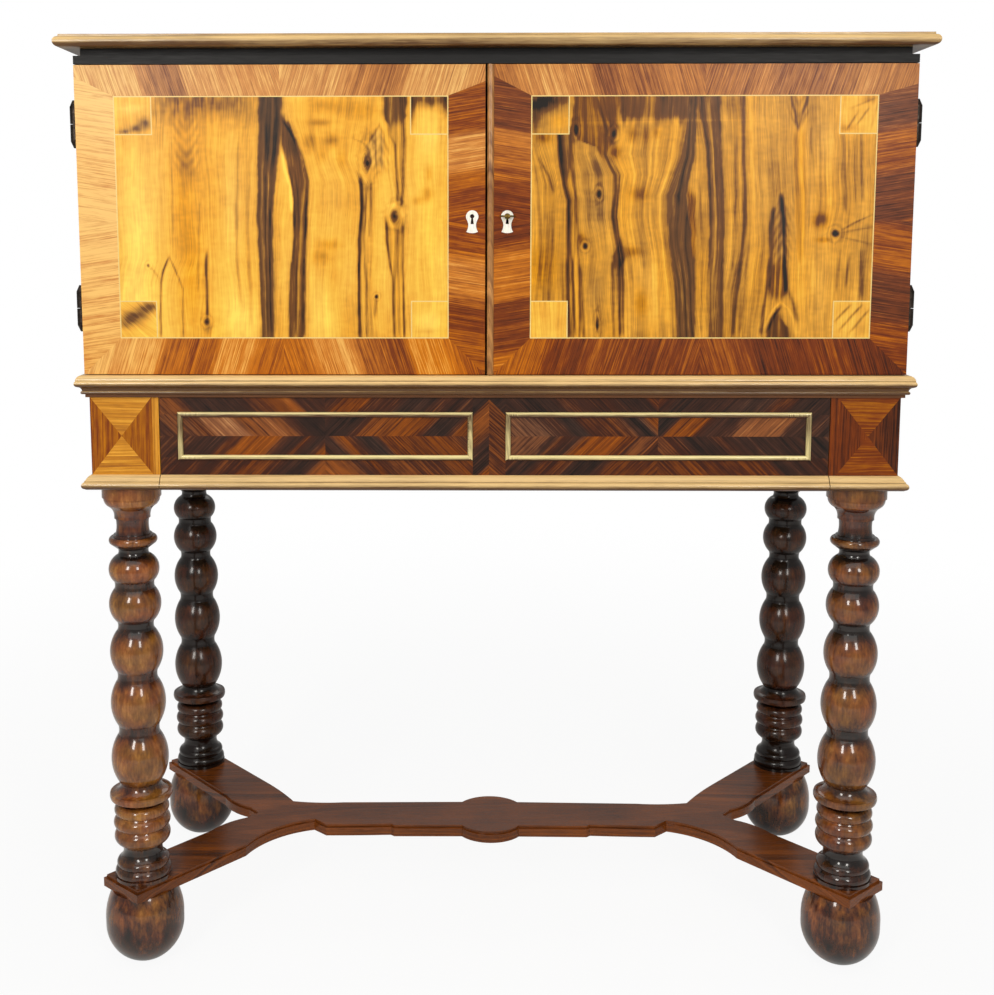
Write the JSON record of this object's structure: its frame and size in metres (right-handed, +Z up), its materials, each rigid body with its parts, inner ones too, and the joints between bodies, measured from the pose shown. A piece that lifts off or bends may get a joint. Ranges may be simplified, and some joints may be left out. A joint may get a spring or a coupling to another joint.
{
  "type": "two-door cabinet on stand",
  "caption": "Walnut-veneered cabinet with side-hung doors on a bobbin-turned stand with a frieze drawer and a flat shaped stretcher.",
  "frame": {"origin": "on the floor under the middle of the cabinet", "axes": "+Z up; the front faces -Y; +X to the right as the viewer faces the front"},
  "size_m": [1.06, 0.504, 1.208],
  "materials": {
    "figured_walnut": "polished, strongly figured golden walnut veneer",
    "banding": "polished cross-grained reddish brown veneer",
    "boxwood": "polished pale inlay line",
    "dark_veneer": "polished dark herringbone veneer",
    "moulding_wood": "polished straw-coloured wood",
    "black_wood": "polished black-stained wood",
    "turned_wood": "glossy dark reddish brown turned wood",
    "case_wood": "polished plain walnut",
    "plain_wood": "waxed plain carcass wood",
    "bone": "smooth bone",
    "iron": "dark wrought iron",
    "brass": "dulled greenish brass"
  },
  "bodies": {
    "cabinet": {"back_rail": "case_wood", "ball_feet": "turned_wood", "case_back": "plain_wood", "case_bottom": "plain_wood", "case_screws": "iron", "case_side_left": "case_wood", "case_side_right": "case_wood", "case_top": "plain_wood", "cornice_front": "black_wood", "cornice_returns": "black_wood", "drawer_runners": "plain_wood", "front_post_left": "plain_wood", "front_post_right": "plain_wood", "hinge_leaves_case": "iron", "leg_front_left": "turned_wood", "leg_front_right": "turned_wood", "leg_rear_left": "turned_wood", "leg_rear_right": "turned_wood", "platform": "case_wood", "plinth_moulding": "moulding_wood", "post_veneers": "banding", "rear_posts": "case_wood", "shelf": "plain_wood", "shelf_bearers": "plain_wood", "side_rails": "case_wood", "stretcher_arms": "turned_wood", "stretcher_bar": "turned_wood", "top_board": "moulding_wood", "waist_moulding": "moulding_wood"},
    "drawer": {"drawer_back": "plain_wood", "drawer_bottom": "plain_wood", "drawer_sides": "plain_wood", "drawer_front": "plain_wood", "drawer_frames": "moulding_wood", "drawer_moulding": "moulding_wood", "drawer_veneers": "dark_veneer"},
    "left_door": {"door_core_left": "plain_wood", "door_banding_left": "banding", "door_field_left": "figured_walnut", "door_squares_left": "figured_walnut", "door_stringing_left": "boxwood", "hinge_leaves_left": "iron", "left_door_screws": "iron", "escutcheon_left": "bone", "lock_keep": "iron", "bolt_guides": "iron"},
    "right_door": {"door_core_right": "plain_wood", "door_banding_right": "banding", "door_field_right": "figured_walnut", "door_squares_right": "figured_walnut", "door_stringing_right": "boxwood", "hinge_leaves_right": "iron", "right_door_screws": "iron", "meeting_bead": "moulding_wood", "escutcheon_right": "bone", "lock_case": "iron"},
    "key": {"key": "brass"},
    "lock_bolt": {"lock_bolt": "iron"},
    "top_bolt": {"top_bolt": "iron"},
    "bottom_bolt": {"bottom_bolt": "iron"}
  },
  "joints": [
    {"name": "drawer_slide", "type": "slide", "parent": "cabinet", "child": "drawer", "axis": [0, -1, 0], "range_m": [0, 0.3]},
    {"name": "left_door_hinge", "type": "hinge", "parent": "cabinet", "child": "left_door", "pos_m": [-0.5175, -0.21075, 0.9845], "axis": [0, 0, -1], "range_deg": [0, 180]},
    {"name": "right_door_hinge", "type": "hinge", "parent": "cabinet", "child": "right_door", "pos_m": [0.5175, -0.21075, 0.9845], "axis": [0, 0, 1], "range_deg": [0, 180]},
    {"name": "key_turn", "type": "hinge", "parent": "right_door", "child": "key", "pos_m": [0.016, -0.222, 0.991], "axis": [0, -1, 0], "range_deg": [0, 180]},
    {"name": "lock_bolt_slide", "type": "slide", "parent": "right_door", "child": "lock_bolt", "axis": [-1, 0, 0], "range_m": [0, 0.009]},
    {"name": "top_bolt_slide", "type": "slide", "parent": "left_door", "child": "top_bolt", "axis": [0, 0, 1], "range_m": [0, 0.012]},
    {"name": "bottom_bolt_slide", "type": "slide", "parent": "left_door", "child": "bottom_bolt", "axis": [0, 0, -1], "range_m": [0, 0.012]}
  ],
  "couplings": [
    {"joint": "lock_bolt_slide", "follows": "key_turn", "m_per_rad": 0.0028648}
  ]
}
